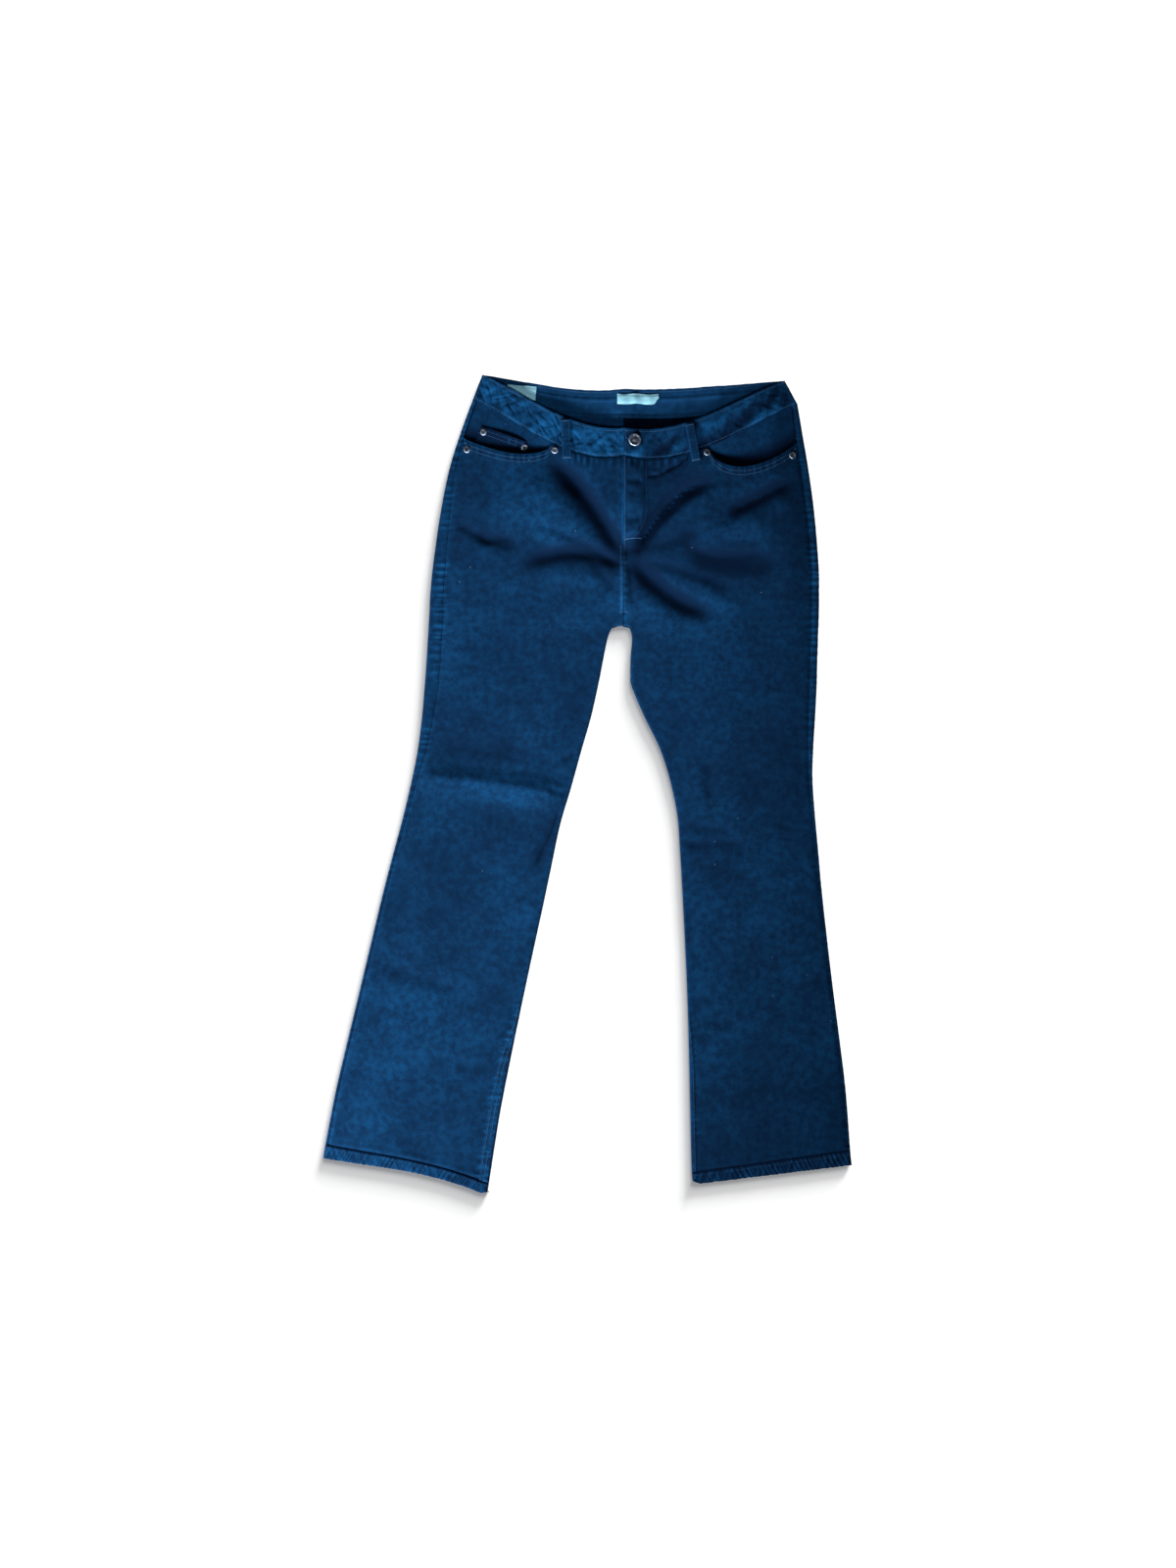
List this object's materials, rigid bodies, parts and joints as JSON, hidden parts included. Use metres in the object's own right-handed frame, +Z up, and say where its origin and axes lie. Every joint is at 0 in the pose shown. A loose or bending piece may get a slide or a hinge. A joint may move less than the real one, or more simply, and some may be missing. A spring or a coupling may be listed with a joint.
{
  "type": "bootcut jeans",
  "caption": "Dark indigo bootcut jeans laid flat on their back, front up, with scooped front pockets, a coin pocket, buttoned waistband, belt loops and turned-up hems.",
  "frame": {"origin": "middle of the bounding box at the surface the jeans lie on", "axes": "+Y to the waist, +X to the wearer's left, +Z up, out of the garment's front"},
  "size_m": [0.7292, 1.1281, 0.0221],
  "materials": {
    "denim": "dark indigo denim twill, matt",
    "antique_metal": "antiqued dark brass, satin",
    "label": "woven satin, pale blue, bare"
  },
  "bodies": {
    "root": {"front_right": "denim", "front_left": "denim", "back_right": "denim", "back_left": "denim", "outseam_right": "denim", "outseam_left": "denim", "yoke_right": "denim", "yoke_left": "denim", "waistband_right": "denim", "waistband_left": "denim", "waistband_back": "denim", "hem_right": "denim", "hem_left": "denim", "coin_pocket": "denim", "fly_shield": "denim", "back_pocket_right": "denim", "back_pocket_left": "denim", "belt_loop_front_right": "denim", "belt_loop_front_left": "denim", "belt_loop_back_1": "denim", "belt_loop_back_2": "denim", "belt_loop_back_3": "denim", "pocket_facing_right": "denim", "pocket_facing_left": "denim", "button": "antique_metal", "rivet_pocket_right_inner": "antique_metal", "rivet_pocket_right_outer": "antique_metal", "rivet_coin_outer": "antique_metal", "rivet_coin_inner": "antique_metal", "rivet_pocket_left_inner": "antique_metal", "rivet_pocket_left_outer": "antique_metal", "label_size": "label", "label_centre": "label"}
  },
  "joints": []
}
